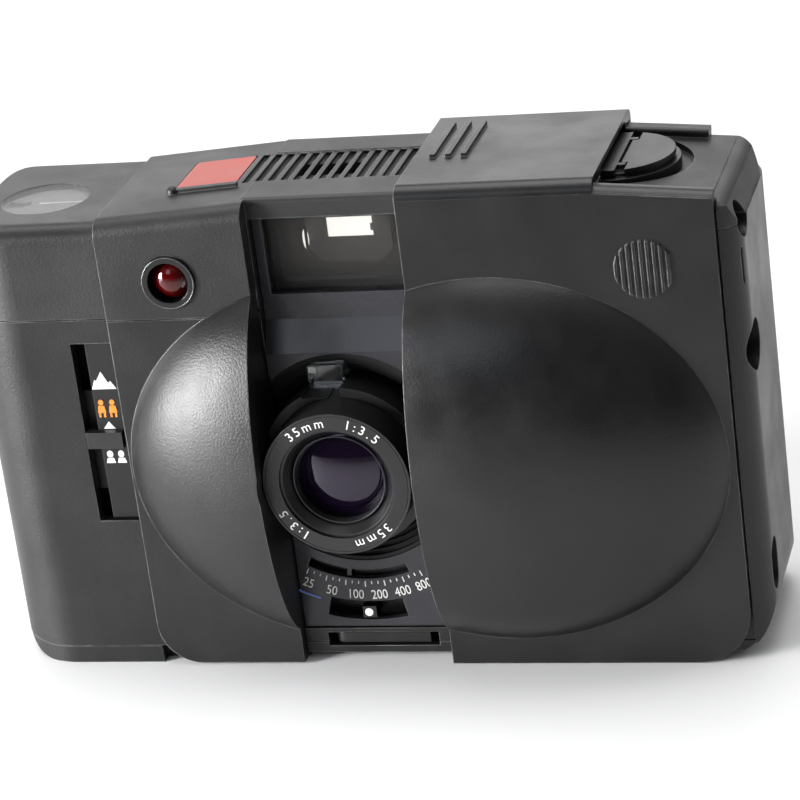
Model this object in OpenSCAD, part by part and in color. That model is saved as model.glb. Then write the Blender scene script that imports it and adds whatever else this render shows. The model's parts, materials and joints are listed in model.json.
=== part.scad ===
// Compact 35 mm film camera with a sliding dust cover, shown with the cover open.
// Millimetres. X to the viewer's right, Y away from the viewer, Z up.
// The lens axis runs along Y; the base rests on Z = 0.
// Left and right are the viewer's, facing the front.

/* [Sliding cover] */
// height of the dome above the front plane
dome_h = 9.0; // [8.6:0.1:9.2]
// wall of the sliding cover
cover_wall = 1.45; // [1.3:0.05:1.5]
// number of ridges in the round finger grip
grip_ridges = 9; // [7:1:11]
// ridges on the top flap
flap_ridges = 3; // [2:1:4]

/* [Top] */
// radius of the rewind knob
knob_r = 7.9; // [7.5:0.1:8.0]
// radius of the frame counter window
window_r = 5.75; // [5.4:0.05:5.8]
// depth of the slots between the top ribs
rib_depth = 0.7; // [0.5:0.05:0.8]

/* [Front] */
// radius of the name ring at the front of the lens
lens_r = 9.5; // [9.4:0.05:9.5]
// radius of the self-timer lamp
lamp_r = 2.6; // [2.4:0.1:2.7]

/* [Back] */
// thickness of the rear door
door_wall = 1.6; // [1.4:0.1:1.7]

/* [Hidden] */
$fn = 96;

// main faces
half_length = 51;     // both ends of the camera
body_front = -13.2;
panel_front = -14;    // raised panel, sliding cover and plane of the dome
body_back = 15.6;
top_back = 14;        // back of the top cover
crown_z = 63.1;       // level middle of the roof
crown_right = 33.8;   // the roof slopes down to the right of this X
ramp_tilt = -4.128;   // roof ramp left of the crown
slope_tilt = 5;       // roof slope right of the crown

// dome, where it meets the front plane
dome_half_width = 28.6;
dome_half_height = 24.5;
slide_travel = 19.8;  // shift of the open cover to the right
slide_left = 9.3;
slide_right = 48.2;

// places on the front, [X, Z]
lens_x = -1.0;
lens_z = 28.2;
lamp_place = [-20.9, 53.5];
finder_x = -0.5;
sensor_x = -3;
blade_pivot = [2.2, 8.8];  // from the lens axis

// places on the right end, [Y, Z]
flash_place = [-8.6, 40.9];
contact_place = [-9.2, 57.4];

// upright axes, [X, Y]
rewind_axis = [34.2, 1.4];  // also the cassette
takeup_axis = [-38, 5.2];   // also the thumbwheel
sprocket_axis = [-25.9, 7.2];
hinge_axis = [-43.6, 13.6];
counter_axis = [-40.1, -1.8];
release_axis = [-17.5, 1.0];
battery_axis = [-10, 2.5];
tripod_axis = [9.5, 2.5];
timer_axis = [-5.2, -10.5];
strap_axis = [49.0, -8.6];
left_post = [-14.5, 9.4];
right_post = [22.5, 9.4];
base_screws = [[-38, -4], [25, 9], [38, -4]];

// gears of the film transport
wheel_teeth = 23;
sprocket_teeth = 15;
gear_bottom = 49.2;
gear_thickness = 1.6;
gear_span = sprocket_axis - takeup_axis;
gear_module = 2 * norm(gear_span) / (wheel_teeth + sprocket_teeth);
mesh_angle = atan2(gear_span.y, gear_span.x);

BLACK = [0.13, 0.13, 0.14];
DARK = [0.07, 0.07, 0.075];
METAL = [0.72, 0.72, 0.74];
BRASS = [0.78, 0.62, 0.32];
GLASS = [0.55, 0.6, 0.7, 0.5];
RED = [0.85, 0.22, 0.16];
WHITE = [0.9, 0.9, 0.9];
FOAM = [0.2, 0.19, 0.18];
BOARD = [0.2, 0.42, 0.28];

// ---------- helpers ----------
// Cutters that must clear the camera run out to about X 60, Y 20 and Z 60 to 70.
module box(low, high) translate(low) cube(high - low);
module at(axis) translate([axis.x, axis.y, 0]) children();
module disc(z0, z1, r) translate([0, 0, z0]) cylinder(r = r, h = z1 - z0);
// disc along X at place [Y, Z]
module disc_x(place, x0, x1, r)
  translate([x0, place[0], place[1]]) rotate([0, 90, 0]) cylinder(r = r, h = x1 - x0);
// disc along Y at place [X, Z]
module disc_y(place, y0, y1, r)
  translate([place[0], y0, place[1]]) rotate([-90, 0, 0]) cylinder(r = r, h = y1 - y0);
module lens_disc(y0, y1, r) disc_y([lens_x, lens_z], y0, y1, r);
module lens_ring(y0, y1, outer, inner) difference() {
  lens_disc(y0, y1, outer);
  lens_disc(y0 - 1, y1 + 1, inner);
}
// a Y-Z section extruded along X
module along_x(x0, x1)
  translate([x0, 0, 0]) rotate([90, 0, 90]) linear_extrude(height = x1 - x0) children();
// an X-Z outline extruded along Y
module along_y(y0, y1)
  translate([0, y1, 0]) rotate([90, 0, 0]) linear_extrude(height = y1 - y0) children();
// turns the children about the Y direction through (x, z)
module tilt_at(x, z, angle)
  translate([x, 0, z]) rotate([0, angle, 0]) translate([-x, 0, -z]) children();
module ring_of(count) for (i = [0 : count - 1]) rotate([0, 0, i * 360 / count]) children();
// box centred on the finder; y and z are [from, to]
module finder_box(half_width, y, z)
  box([finder_x - half_width, y[0], z[0]], [finder_x + half_width, y[1], z[1]]);
// box centred on the light sensor
module sensor_box(half_width, y, z)
  box([sensor_x - half_width, y[0], z[0]], [sensor_x + half_width, y[1], z[1]]);
module rounded_rect(low, high, r) {
  translate([low.x + r, low.y]) square([high.x - low.x - 2 * r, high.y - low.y]);
  translate([low.x, low.y + r]) square([high.x - low.x, high.y - low.y - 2 * r]);
  for (x = [low.x + r, high.x - r], y = [low.y + r, high.y - r]) translate([x, y]) circle(r = r);
}

// plan outline of the camera
module plan(inset, back) {
  front_left_r = 9;
  back_left_r = 11;
  front_right_r = 3.6;
  back_right_r = 9;
  end = half_length;
  front = body_front;
  translate([-end + front_left_r, front + front_left_r]) circle(r = front_left_r - inset);
  translate([-end + back_left_r, back - back_left_r]) circle(r = back_left_r - inset);
  translate([end - front_right_r, front + front_right_r]) circle(r = front_right_r - inset);
  translate([end - back_right_r, back - back_right_r]) circle(r = back_right_r - inset);
  polygon([
    [-end + inset, front + front_left_r], [-end + front_left_r, front + inset],
    [end - front_right_r, front + inset], [end - inset, front + front_right_r],
    [end - inset, back - back_right_r], [end - back_right_r, back - inset],
    [-end + back_left_r, back - inset], [-end + inset, back - back_left_r]]);
}
// front outline with the rounded bottom corners
module front_outline(inset) {
  left_r = 5.4;
  right_r = 8;
  end = half_length;
  polygon([[-end + inset, left_r], [-end + left_r, inset], [end - right_r, inset],
    [end - inset, right_r], [end - inset, 80], [-end + inset, 80]]);
  translate([-end + left_r, left_r]) circle(r = left_r - inset);
  translate([end - right_r, right_r]) circle(r = right_r - inset);
}
module shell(inset, z0, z1, back = body_back) intersection() {
  translate([0, 0, z0]) linear_extrude(height = z1 - z0) plan(inset, back);
  along_y(-20, 20) front_outline(inset);
}
// side section with rounded top edges
module side_section(front, back, bottom, top, front_r, back_r) {
  polygon([[front, bottom], [back, bottom], [back, top - back_r], [back - back_r, top],
    [front + front_r, top], [front, top - front_r]]);
  translate([front + front_r, top - front_r]) circle(r = front_r);
  translate([back - back_r, top - back_r]) circle(r = back_r);
}

// right to tip: [radius from the pitch circle / module, half width / (PI * module)]
tooth_profile = [[-1.3, 0.30], [-0.6, 0.24], [0, 0.185], [0.75, 0.09]];
function tooth_side(pitch_r, side) = [for (p = tooth_profile)
  [pitch_r + p[0] * gear_module, side * p[1] * PI * gear_module]];
function reversed(list) = [for (i = [len(list) - 1 : -1 : 0]) list[i]];
module gear(teeth, bore, phase) {
  pitch_r = gear_module * teeth / 2;
  translate([0, 0, gear_bottom]) rotate([0, 0, phase])
    linear_extrude(height = gear_thickness) difference() {
      union() {
        circle(r = pitch_r - 0.95 * gear_module);
        ring_of(teeth) polygon(concat(tooth_side(pitch_r, -1), reversed(tooth_side(pitch_r, 1))));
      }
      circle(r = bore);
    }
}

// Flattened dome on the lens axis, shifted along X. Its centre lies height / 2 behind
// the plane, so it meets the plane at a slope; the spread gives it the stated half sizes there.
module dome(shift, half_width, half_height, height, plane = panel_front) {
  spread = 3 / sqrt(8);
  translate([lens_x + shift, plane + height / 2, lens_z])
    scale([half_width * spread, height * 1.5, half_height * spread])
      rotate([0, 0, 90]) sphere(r = 1);
}
module outer_dome(shift) dome(shift, dome_half_width, dome_half_height, dome_h);
// outline of the dome on the front plane
module dome_outline(grow) translate([lens_x, lens_z])
  scale([(dome_half_width + grow) / (dome_half_height + grow), 1])
    circle(r = dome_half_height + grow);

// ---------- top cover ----------
ramp_left = -29.9;
ramp_z = 61.62;
slope_z = 62.1;

// long sections of the roof, before its ends are shaped
module roof_sections(inset) {
  back = top_back - inset;
  back_r = 2.8 - inset;
  end_r = 2.2 - min(inset, 1.6);
  crown_r = 0.8 - min(inset, 0.4);
  along_x(-52, -29.4 + inset) side_section(body_front + inset, back, 40, 61 - inset, end_r, back_r);
  intersection() {
    tilt_at(ramp_left, ramp_z, ramp_tilt) along_x(-34, -8)
      side_section(panel_front + inset, back, 40, ramp_z - inset, end_r, back_r);
    box([inset > 0 ? -31 : ramp_left, -20, 30], [-10.5 - inset, 20, 70]);
  }
  along_x(-11.0 - 1.5 * inset, crown_right - inset)
    side_section(-11.4 + inset, back, 40, crown_z - inset, crown_r, back_r);
  tilt_at(crown_right, slope_z, slope_tilt) along_x(crown_right - inset, 53)
    side_section(-11.4 + inset, back, 40, slope_z - inset, crown_r, back_r);
  // front corner right of the sliding cover, on the outside only
  if (inset == 0) intersection() {
    tilt_at(crown_right, slope_z, slope_tilt) along_x(44, 53)
      side_section(body_front, 13.5, 40, slope_z, 1.9, 2.8);
    box([48.35, -20, 40], [60, 5, 70]);
  }
}
module roof(inset) {
  end = half_length - inset;
  corner_x = 47.6;
  corner_r = 3.4;
  intersection() {
    union() roof_sections(inset);
    union() {
      translate([0, 0, 46]) linear_extrude(height = 20) plan(inset, top_back);
      box([ramp_left + inset, panel_front + inset, 46], [-10.5 - inset, 0, 66]);
    }
    along_y(-20, 20)
      polygon([[-end, 40], [end, 40], [end, 57], [47, 66], [-48, 66], [-end, 58]]);
    along_y(-20, 20) union() {
      polygon([[-end, 40], [end, 40], [end, 57.4], [corner_x, 60.8 - inset], [corner_x, 66],
        [-corner_x, 66], [-corner_x, 61 - inset], [-end, 57.6]]);
      translate([-corner_x, 57.6]) circle(r = corner_r - inset);
      translate([corner_x, 57.4]) circle(r = corner_r - inset);
    }
  }
}
// space that belongs to the top cover
module top_zone() {
  box([-60, -20, 48.6], [-10.45, 12.4, 70]);
  box([-60, -20, 48.6], [-42.05, 20, 70]);
  box([-60, -20, 53.1], [46.8, 20, 70]);
  box([46.7, -20, 57.4], [60, 20, 70]);
}
module top_ribs() {
  pitch = 1.65;
  slot = 1.0;
  first = -12.7;
  for (i = [0 : 15])
    box([first + i * pitch, -4.4, crown_z - rib_depth], [first + slot + i * pitch, 6.4, 66]);
  // slots that go right through
  for (i = [4 : 8]) box([first + i * pitch, -1.2, 60], [first + slot + i * pitch, 3.2, 66]);
}
module top_shell() difference() {
  intersection() {
    roof(0);
    top_zone();
  }
  roof(1.5);
  // room for the tail of the mask
  box([-10.45, -12, 48], [18, -5.0, 60.5]);
  // counter well
  at(counter_axis) {
    disc(60.2, 63, window_r + 0.05);
    disc(58, 63, window_r - 0.5);
  }
  // release channel and ribs
  box([-21.85, -4.45, 58], [-13.45, 6.45, 66]);
  top_ribs();
  // step along the channel
  box([-13.3, -4.6, 62.9], [14.2, 6.6, 66]);
  // rewind well
  at(rewind_axis) disc(60.6, 70, 9.4);
  // rebate for the flap's rear lip
  box([-10.6, 13.0, 61.45], [34.3, 16, 70]);
}
module top_cover() color(BLACK) difference() {
  union() {
    top_shell();
    // rear rail behind the rewind knob
    intersection() {
      tilt_at(crown_right, crown_z, 4.6)
        along_x(32, 44.3) side_section(10.2, 12.8, 60.8, crown_z, 0.5, 0.6);
      box([33.7, 5, 60.8], [46, 14, 66]);
    }
    // bosses for the posts
    for (post = [left_post, right_post]) at(post) disc(53.1, 61.6, 1.8);
    // floor of the rewind well
    at(rewind_axis) difference() {
      disc(59.4, 60.6, 9.9);
      disc(50, 70, 3.65);
    }
    // rim of the release channel
    along_y(-5.6, -4.9)
      polygon([[-21.9, 61.6], [-13, 62.2], [-13, 63.35], [-21.9, 62.75]]);
    translate([-21.6, -5.3, 62.4]) sphere(r = 0.75);
  }
  // lamp
  disc_y(lamp_place, -30, -10, 3.55);
  // eyepiece
  finder_box(4.7, [8, 20], [52, 58.6]);
  // thumbwheel slot
  at(takeup_axis) disc(53.0, 57.3, 11.4);
  // hole in the right end for the flash contact
  disc_x(contact_place, 40, 60, 2.25);
  at(rewind_axis) disc(55, 61, 3.65);
  // edge that follows the dome of the front cover
  intersection() {
    along_y(-20, -11.5) dome_outline(0.06);
    box([-25, -20, 45], [-10, 0, 60]);
  }
  // post screws
  for (post = [left_post, right_post]) at(post) disc(50, 58, 0.85);
}

// ---------- other shells ----------
front_dome_wall = 1.4;

module end_cap() difference() {
  intersection() {
    shell(0, 2.5, 48.5);
    box([-60, -20, 0], [-28.4, 4.2, 60]);
  }
  shell(1.65, 2, 49);
}
// raised panel with its own corner radius, and the left part of the dome
module raised_panel() difference() {
  union() {
    along_y(panel_front, -11.6) union() {
      polygon([[-29.9, 6], [-24.3, 0.35], [-10.5, 0.35], [-10.5, 48.5], [-29.9, 48.5]]);
      translate([-24.3, 5.95]) circle(r = 5.6);
    }
    intersection() {
      outer_dome(0);
      union() {
        box([-29.6, -30, 2.6], [-10.47, body_front, 48.5]);
        box([-29.6, -30, 40], [-10.47, panel_front, 56]);
      }
    }
    intersection() {
      along_y(-14.06, -12.0) dome_outline(-0.2);
      box([-22, -20, 44], [-10.5, -12.0, 56]);
    }
  }
  box([-28.4, -12.4, 2.4], [-12.05, -11, 49]);
  intersection() {
    dome(0, dome_half_width - front_dome_wall, dome_half_height - front_dome_wall, dome_h - 1.3);
    box([-28.4, -30, 3.4], [-12.05, -11, 47.5]);
  }
}
module front_cover() color(BLACK) difference() {
  union() {
    end_cap();
    raised_panel();
    // side wall facing the lens bay
    box([-12.05, -12.6, 2.5], [-10.5, -11.45, 48.5]);
  }
  // clearance for the focusing cell
  lens_disc(-30, -8, lens_r + 0.15);
  // slot for the focusing lever
  box([-35.6, -20, 20.6], [-30.1, -12.0, 45.3]);
  box([-35.6, -20, 20.6], [-34.15, -5, 45.3]);
}

// Y-Z section of the mask: down the front side, then back along the rear side
mask_section = [
  [-12.0, 4.55], [-12.0, 42.6], [-9.9, 46.6], [-9.9, 60.35],
  [-8.8, 60.35], [-8.8, 46.1], [-10.9, 42.1], [-10.9, 4.55]];
module bay_mask() color(DARK) difference() {
  along_x(-10.35, 17.5) polygon(mask_section);
  // finder opening
  box([-9.1, -20, 49.9], [8.3, 0, 59.9]);
  lens_disc(-20, 0, 14.25);
  // arc window of the film speed scale
  intersection() {
    lens_ring(-20, 0, 16.9, 15.6);
    along_y(-20, 0) polygon([[lens_x, lens_z], [lens_x - 9.8, lens_z - 18.5],
      [lens_x + 6.4, lens_z - 18.5]]);
  }
  // cut-out of the film speed lever
  intersection() {
    lens_ring(-20, 0, 22.75, 20.1);
    along_y(-20, 0) polygon([[lens_x, lens_z], [lens_x - 6.6, lens_z - 24],
      [lens_x + 5.0, lens_z - 24]]);
  }
  // notch for the light sensor window
  sensor_box(2.45, [-20, 0], [37.5, 41.1]);
}
module lens_baffle() color(DARK) intersection() {
  step = 0.6;
  difference() {
    lens_disc(-11.9, -8.9, 14.2);
    for (i = [0 : 3]) lens_disc(-12.1, -11.3 + i * step, 13.7 - i * step);
    lens_disc(-12.1, -8.0, 11.3);
    sensor_box(2.45, [-20, 0], [37.4, 41.2]);
  }
  box([-10.35, -20, 0], [20, 0, 60]);
}
module bottom_cover() color(BLACK) difference() {
  shell(0.05, 0, 2.4, back = 15.55);
  // path of the sliding cover's lip
  box([-10.45, -14, -1], [52, -8.2, 0.95]);
  box([-10.45, -14, -1], [48.4, -12.35, 3]);
  // foot of the raised panel
  box([-30, -14, -1], [-10.4, -11.5, 3]);
  // finger slot of the self-timer lever
  box([-7.4, -14, 1.9], [7.4, -8.0, 3]);
  at(battery_axis) disc(-1, 3, 6.95);
  at(tripod_axis) disc(-1, 3, 5.05);
  at(sprocket_axis) disc(-1, 3, 2.35);
  for (screw = base_screws) at(screw) {
    disc(-1, 3, 1.1);
    disc(-1, 1.1, 2.05);
  }
}

// ---------- sliding cover ----------
// front wall, open behind the dome so that it passes the lens
module slide_front() {
  corner_r = 7;
  bottom = 0.1;
  top = 62.9;
  corner_x = slide_right - corner_r;
  along_y(panel_front, panel_front + cover_wall) difference() {
    union() {
      polygon([[slide_left, bottom], [corner_x, bottom], [slide_right, bottom + corner_r],
        [slide_right, 61.7], [crown_right, top], [slide_left, top]]);
      translate([corner_x, bottom + corner_r]) circle(r = corner_r);
    }
    translate([slide_travel, 0]) dome_outline(-1.6);
  }
}
module slide_flap() along_x(slide_left, crown_right) difference() {
  side_section(panel_front, 14.15, 60.4, 64.5, 1.8, 1.0);
  polygon([[-11.65, 50], [16, 50], [16, 61.6], [13.15, 61.6], [13.15, 63.25], [-11.65, 63.25]]);
}
module slide_dome() difference() {
  intersection() {
    outer_dome(slide_travel);
    box([slide_left, -30, 3.0], [48.0, -13.3, 55]);
  }
  dome(slide_travel, 28.3 - cover_wall, 24.2 - cover_wall, dome_h - 1.25, plane = -13.9);
}
module grip() {
  centre = [39.2, 53.15];
  width = 7.2;
  pitch = width / grip_ridges;
  left = centre[0] - width / 2;
  intersection() {
    translate([centre[0], -13, centre[1]]) rotate([90, 0, 0]) cylinder(r = 3.67, h = 3);
    for (i = [0 : grip_ridges - 1])
      box([left + i * pitch, -14.35, 48], [left + (i + 0.5) * pitch, -13.5, 58]);
  }
}
module slide_cover() color(BLACK) difference() {
  union() {
    slide_front();
    // rounded strip beside the flap
    intersection() {
      tilt_at(crown_right, 63.5, slope_tilt)
        along_x(33.5, 48.25) side_section(panel_front, -11.0, 60.4, 63.5, 1.8, 0.5);
      box([30, -20, 55], [slide_right, -11.65, 70]);
    }
    slide_flap();
    slide_dome();
    // bottom lip
    box([slide_left, -13.2, 0.1], [41, -8.5, 0.8]);
    // ridges of the flap
    for (i = [0 : flap_ridges - 1]) box([11.4 + i * 2.0, -2.6, 64.3], [12.15 + i * 2.0, 10.0, 64.95]);
    grip();
  }
  // relief over the rewind knob
  at(rewind_axis) disc(62, 63.9, 8.6);
}

// ---------- main body ----------
// outer form, cut back where the covers and the door fit
module body_form() difference() {
  union() {
    shell(1.8, 2.5, 57.3);
    intersection() {
      shell(0, 2.5, 57.3);
      box([-10.4, -20, 0], [60, 20, 60]);
    }
    intersection() {
      shell(0, 2.5, 57.3);
      box([-60, 4.3, 0], [-10, 20, 60]);
    }
  }
  // rear door
  box([-42.05, 12.5, 0], [60, 20, 60]);
  box([hinge_axis.x, 12.6, 0], [-42.0, 20, 60]);
  // front cover, sliding cover and mask
  box([-60, -20, 0], [-10.4, -11.4, 60]);
  box([-10.45, -20, 0], [48.35, -12.3, 60]);
  box([-10.45, -20, 4.4], [17.7, -10.7, 60]);
  box([-10.45, -20, 41.9], [17.7, -8.6, 60]);
  // top cover and finder
  box([-60, -20, 48.4], [-10.3, 20, 60]);
  box([-60, -20, 53.0], [46.9, 20, 60]);
  box([-10.45, -9.0, 49.0], [18, 20, 60]);
}
module lens_cuts() {
  // lens and shutter cavity
  lens_disc(-15, -0.8, 14.9);
  lens_disc(-1, 2, 5.05);
  // light tunnel
  intersection() {
    linear_extrude(height = 60) polygon([[lens_x - 7, 1.4], [lens_x + 7, 1.4],
      [lens_x + 18, 12], [lens_x - 18, 12]]);
    along_x(-30, 30) polygon([[1.4, lens_z - 6], [1.4, lens_z + 6],
      [12, lens_z + 12], [12, lens_z - 12]]);
  }
}
// round chamber that opens to the back at its full width
module open_chamber(axis, z0, z1, r) at(axis) {
  disc(z0, z1, r);
  box([-r, 0, z0], [r, 13 - axis.y, z1]);
}
module film_cuts() {
  // film channel
  box([-32, 11.2, 10.0], [22, 13, 46.4]);
  // cassette chamber
  open_chamber(rewind_axis, 4.2, 52.3, 12.8);
  // take-up chamber
  at(takeup_axis) disc(8.4, 47.6, 7.8);
  box([-41.2, takeup_axis.y, 8.4], [sprocket_axis.x, 13, 47.6]);
  // sprocket chamber, shaft and release button
  open_chamber(sprocket_axis, 8.4, 47.6, 5.95);
  at(sprocket_axis) {
    disc(5.0, 60, 2.05);
    disc(2, 5.05, 2.6);
  }
  // rewind fork
  at(rewind_axis) disc(50, 60, 3.4);
}
module base_cuts() {
  at(battery_axis) {
    disc(2, 14.3, 5.95);
    disc(2, 4.1, 6.95);
  }
  at(tripod_axis) disc(2, 7.3, 5.05);
  // self-timer lever room
  box([-7.4, -14, 2], [7.4, -8.0, 3.8]);
  for (screw = base_screws) at(screw) disc(2, 4.0, 0.85);
}
module front_cuts() {
  // film speed lever room
  along_y(-15, -9.4) polygon([[-9.5, 13], [7, 13], [5.6, 4.4], [-8.2, 4.4]]);
  intersection() {
    lens_disc(-15, -9.4, 17.3);
    box([-30, -20, 4.5], [30, 0, 28]);
  }
  // focusing lever room
  box([-37.4, -15, 18], [-29, -8.6, 47]);
  box([-30, -15, 18], [-15, -9.6, 41]);
  sensor_box(3, [-15, -6.6], [37, 44]);
  // recesses behind the front wall that save material
  box([-27.5, -15, 6], [-18.5, 0, 46]);
  box([17.0, -15, 6], [20.0, 8, 46]);
  // finder room
  finder_box(9.4, [-9.2, 13], [48.4, 60]);
}
module right_end_cuts() {
  // door latch rod
  box([47.75, 8.85, 19], [49.05, 11.05, 60]);
  box([46.8, rewind_axis.y - 1, 53.0], [49.2, 11.2, 60]);
  // flash socket and contact, with a narrow slit below the contact
  disc_x(flash_place, 45.95, 55.95, 3.25);
  disc_x(contact_place, 44, 64, 2.25);
  box([49, -11.3, 49.8], [52, -10.85, 54.4]);
  // strap slot with round ends
  box([47.4, -10.5, 9.8], [52, -6.7, 13.0]);
  for (z = [9.8, 13.0]) disc_x([strap_axis.y, z], 47.4, 52.4, 1.9);
  at(strap_axis) disc(6.5, 16.3, 0.65);
}
module main_block() difference() {
  union() {
    body_form();
    // hinge knuckles, each [bottom, top]
    for (z = [[3.7, 10.1], [22.0, 31.1], [43.0, 48.3]]) at(hinge_axis) disc(z[0], z[1], 1.55);
    at(left_post) disc(48.0, 53.0, 1.8);
    // thumbwheel post
    at(takeup_axis) disc(48.0, 57.1, 1.6);
  }
  // hinge: room for the door's knuckles, and the pin
  for (z = [10.15, 31.15]) at(hinge_axis) disc(z, z + 11.7, 2.15);
  at(hinge_axis) disc(3.5, 49.5, 0.65);
  lens_cuts();
  film_cuts();
  base_cuts();
  front_cuts();
  right_end_cuts();
  // post screws
  at(left_post) disc(49, 54, 0.85);
  at(right_post) disc(50, 54, 0.85);
  // seal grooves
  box([-9.6, 11.7, 47.5], [17.6, 13, 48.4]);
  box([-28, 11.7, 5.6], [20.5, 13, 6.6]);
}
module main_body() color(BLACK) union() {
  main_block();
  // pin of the self-timer lever
  at(timer_axis) disc(2.05, 4.0, 0.7);
  // pins of the take-up spool
  for (z = [8, 42]) at(takeup_axis) disc(z, z + 6, 2.35);
}

// ---------- door ----------
module door_panel() difference() {
  intersection() {
    shell(0, 2.6, 52.7);
    box([-41.9, 12.6, 0], [60, 20, 60]);
  }
  intersection() {
    shell(door_wall, 4.2, 51.2);
    box([-40.3, 12, 4.2], [46.3, body_back - door_wall, 51.2]);
  }
}
module rear_door() color(BLACK) difference() {
  union() {
    door_panel();
    // hinge knuckles
    for (z = [10.3, 31.3]) {
      at(hinge_axis) disc(z, z + 11.4, 1.55);
      box([hinge_axis.x, hinge_axis.y - 0.7, z], [-41.0, hinge_axis.y + 1.5, z + 11.4]);
    }
    // studs that carry the pressure plate
    for (x = [-14, 12], z = [17, 39.4]) disc_y([x, z], 12.9, 14.2, 0.9);
  }
  for (z = [10, 31]) at(hinge_axis) disc(z, z + 12, 0.65);
  // relief for the teeth of the take-up gear
  at(takeup_axis) disc(48.9, 51.4, 8.2);
  // grooves between the shallow grip ribs
  for (i = [0 : 7]) box([30 + i * 1.5, 15.3, 12], [30.7 + i * 1.5, 16, 42]);
}
module door_hinge_pin() color(METAL) at(hinge_axis) disc(3.6, 48.3, 0.6);
module pressure_plate() color(DARK) difference() {
  along_y(11.95, 12.7) rounded_rect([-21, 12.7], [19, 43.7], 1.5);
  for (i = [0 : 5]) box([-18 + i * 6.4, 11.5, 16], [-15.6 + i * 6.4, 12.05, 40.4]);
}

// plan outlines of the bent strips, [X, Y]
plate_spring_plan = [
  [-13, 13.95], [-11, 13.95], [-6, 12.95], [4, 12.95], [9, 13.95], [11, 13.95],
  [11, 13.75], [9.1, 13.75], [4.1, 12.75], [-6.1, 12.75], [-11.1, 13.75], [-13, 13.75]];
cassette_spring_plan = [
  [27, 13.95], [30, 13.95], [34, 13.3], [38, 13.95], [40, 13.95],
  [40, 13.75], [38, 13.75], [34, 13.1], [30, 13.75], [27, 13.75]];
module pressure_springs() color(METAL) for (z = [22, 33.4])
  translate([0, 0, z]) linear_extrude(height = 3.2) polygon(plate_spring_plan);
module cassette_spring() color(METAL)
  translate([0, 0, 22]) linear_extrude(height = 12) polygon(cassette_spring_plan);
module light_seals() color(FOAM) {
  box([-9.5, 11.8, 47.6], [17.5, 12.55, 48.3]);
  box([-27.9, 11.8, 5.7], [20.4, 12.55, 6.5]);
}
module door_latch() color(METAL) box([47.9, 9.0, 20], [48.9, 10.9, 56.5]);

// ---------- rewind ----------
crank_hinge = [1.4, 62.65];  // [X from the rewind axis, Z]
knob_top_r = knob_r - 0.6;

module rewind_collar() color(METAL) difference() {
  arm_y = rewind_axis.y + 1;
  union() {
    at(rewind_axis) disc(53.4, 56.6, 3.3);
    // arm that reaches the door latch
    box([rewind_axis.x, arm_y, 54.2], [47.5, arm_y + 2, 55.4]);
    box([46.2, arm_y, 54.2], [47.8, 10.4, 55.4]);
  }
  at(rewind_axis) disc(50, 60, 2.05);
}
module rewind_shaft() color(METAL) at(rewind_axis) difference() {
  union() {
    disc(51.0, 60.7, 2.0);
    disc(52.4, 53.2, 3.1);
    disc(56.8, 57.6, 3.1);
    box([-1.8, -0.6, 46.8], [1.8, 0.6, 51.1]);
  }
  // gap between the fork's prongs
  box([-0.7, -2, 46], [0.7, 2, 50]);
}
module rewind_knob() color(BLACK) at(rewind_axis) difference() {
  union() {
    disc(60.75, 61.9, knob_r);
    disc(58.6, 60.8, 3.55);
    disc(61.8, 62.3, knob_r - 1.1);
    // half of the top that stays with the knob
    intersection() {
      disc(62.2, 62.95, knob_top_r);
      box([-12, -12, 62], [0.9, 12, 63.0]);
    }
    // lugs of the crank hinge
    for (side = [-1, 1]) box([0.8, side * 4.8 - 0.4, 62.2], [1.9, side * 4.8 + 0.4, 62.95]);
  }
  disc(57, 60.7, 2.02);
  disc_y(crank_hinge, -5.4, 5.4, 0.24);
}
module rewind_crank() color(BLACK) at(rewind_axis) {
  intersection() {
    disc(62.36, 62.94, knob_top_r);
    union() {
      box([1.4, -4.2, 62], [12, 4.2, 64]);
      box([2.1, -12, 62], [12, 12, 64]);
    }
  }
  disc_y(crank_hinge, -4.2, 4.2, 0.29);
  disc_y(crank_hinge, -5.2, 5.2, 0.19);
}

// ---------- film transport ----------
module thumbwheel() color(DARK) at(takeup_axis) difference() {
  union() {
    difference() {
      disc(53.4, 56.9, 11.1);
      ring_of(60) translate([10.75, -0.26, 53]) cube([1, 0.52, 5]);
    }
    gear(wheel_teeth, 1.7, mesh_angle);
    disc(50.7, 53.5, 3.4);
  }
  disc(49, 58, 1.65);
  ring_of(6) translate([6.6, 0, 0]) disc(53, 58, 1.9);
}
module takeup_spool() color(DARK) at(takeup_axis) difference() {
  union() {
    disc(9.0, 47.2, 4.9);
    disc(9.2, 10.2, 7.5);
    disc(46.2, 47.2, 7.5);
  }
  disc(8, 48, 2.4);
  ring_of(6) translate([2.9, -0.5, 12]) cube([3, 1.0, 32.5]);
}
module film_sprocket() color(METAL) at(sprocket_axis) union() {
  disc(5.2, 49.15, 2.0);
  disc(49.1, 51.0, 1.2);
  disc(9.6, 46.8, 3.6);
  // toothed rims at the two rows of film holes
  for (z = [lens_z - 14.1, lens_z + 14.1]) {
    disc(z - 1.9, z + 1.9, 4.35);
    ring_of(6) translate([4.0, -0.75, z - 0.9]) cube([1.45, 1.5, 1.8]);
  }
}
module sprocket_gear() color(BRASS) at(sprocket_axis)
  gear(sprocket_teeth, 1.22, mesh_angle + 180 + 180 / sprocket_teeth);
module counter_bridge() color(METAL) {
  box([-48.0, -6.4, 57.4], [-33.0, -2.8, 57.8]);
  box([-43, -3, 57.4], [-37.2, 0.2, 57.8]);
  for (x = [-46.9, -34.2]) at([x, -5.2]) disc(57.7, 59.45, 0.9);
  at(counter_axis) disc(57.7, 59.2, 0.8);
}
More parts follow.
